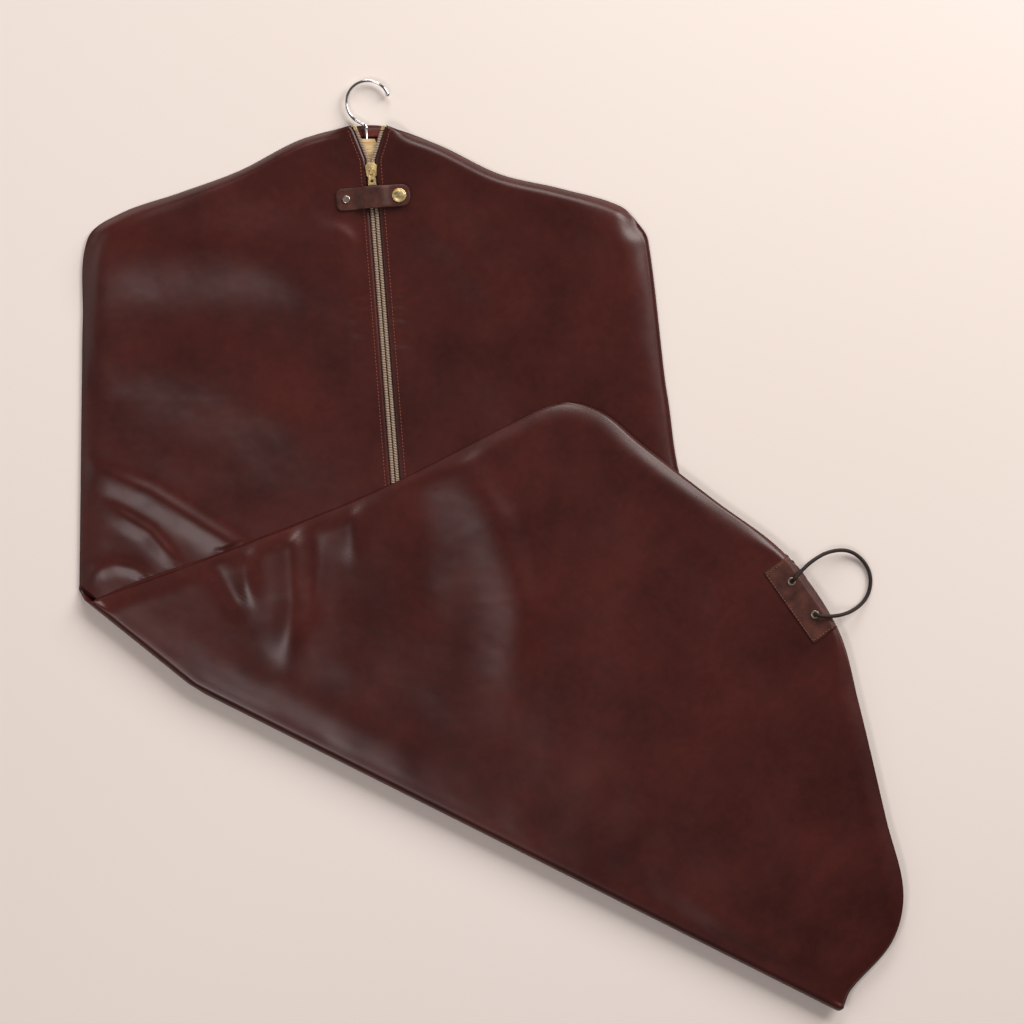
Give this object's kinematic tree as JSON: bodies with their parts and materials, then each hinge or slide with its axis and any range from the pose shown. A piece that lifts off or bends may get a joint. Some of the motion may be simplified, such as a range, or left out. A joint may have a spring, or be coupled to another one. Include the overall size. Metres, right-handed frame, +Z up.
{
  "type": "garment bag",
  "caption": "Leather garment bag on a hanger, folded once, with a front zip, snap strap, hanger hook and a corded hem patch",
  "frame": {"origin": "middle of the base of the folded bag and its hook, on the surface it lies on, measured without the cord", "axes": "+Y from the hem's fold to the hanger hook, +X to the bag's right as it is looked at, +Z up out of the front"},
  "size_m": [0.8574, 0.9663, 0.026],
  "materials": {
    "leather": "smooth burgundy hide, satin sheen",
    "trim_leather": "thicker hide, satin",
    "suede": "flesh side, matt",
    "lining": "woven lining, matt",
    "zip_tape": "woven tape",
    "zip_coil": "nylon coil, satin",
    "brass": "polished",
    "nickel": "nickel plate",
    "chrome": "polished",
    "wood": "pale beech, lacquered",
    "cord": "round waxed cord"
  },
  "bodies": {
    "bag_upper": {"back_panel_upper": "leather", "back_lining_upper": "lining", "neck_facing": "suede", "front_panel_left_upper": "leather", "front_panel_right_upper": "leather", "front_lining_left_upper": "lining", "front_lining_right_upper": "lining", "zip_tape_left_upper": "zip_tape", "zip_tape_right_upper": "zip_tape", "zip_teeth_left_upper": "zip_coil", "zip_teeth_right_upper": "zip_coil", "zip_top_stops": "brass", "hanger_body": "wood", "strap_anchor": "trim_leather", "strap_rivet": "nickel", "strap_rivet_burr": "nickel", "snap_stud": "brass", "snap_stud_backing": "brass", "fold_bend_back": "leather", "fold_bend_front": "leather", "fold_bend_zip": "zip_coil"},
    "bag_lower": {"back_panel_lower": "leather", "back_lining_lower": "lining", "front_panel_left_lower": "leather", "front_panel_right_lower": "leather", "front_lining_left_lower": "lining", "front_lining_right_lower": "lining", "zip_tape_left_lower": "zip_tape", "zip_tape_right_lower": "zip_tape", "zip_teeth_left_lower": "zip_coil", "zip_teeth_right_lower": "zip_coil", "zip_bottom_stop": "brass", "hem_patch_back": "trim_leather", "hem_patch_front": "trim_leather", "eyelets": "nickel", "eyelet_washers": "nickel", "cord_loop": "cord", "cord_knots": "cord"},
    "zip_slider": {"slider_body": "brass"},
    "zip_pull": {"pull_tab": "brass"},
    "strap": {"snap_strap": "trim_leather", "snap_cap": "brass", "snap_socket": "brass"},
    "hook": {"hanger_hook": "chrome", "hook_tip": "chrome"}
  },
  "joints": [
    {"name": "bag_fold", "type": "hinge", "parent": "bag_upper", "child": "bag_lower", "pos_m": [-0.0745, -0.25889, 0.0086], "axis": [0.8941, -0.4479, 0], "range_deg": [0, 180], "deforming": ["fold_bend_back", "fold_bend_front", "fold_bend_zip"]},
    {"name": "slider_run", "type": "slide", "parent": "bag_upper", "child": "zip_slider", "axis": [0.0765, -0.9969, -0.0198], "range_m": [0, 0.2]},
    {"name": "pull_swing", "type": "hinge", "parent": "zip_slider", "child": "zip_pull", "pos_m": [-0.12413, 0.38812, 0.0153], "axis": [-0.9971, -0.0765, -0.0015], "range_deg": [0, 165]},
    {"name": "strap_lift", "type": "hinge", "parent": "bag_upper", "child": "strap", "pos_m": [-0.14255, 0.35754, 0.01434], "axis": [0.0765, -0.9969, -0.0198], "range_deg": [0, 120]},
    {"name": "hook_swivel", "type": "hinge", "parent": "bag_upper", "child": "hook", "pos_m": [-0.1295, 0.43417, 0.0056], "axis": [0, 1, 0], "continuous": true}
  ]
}
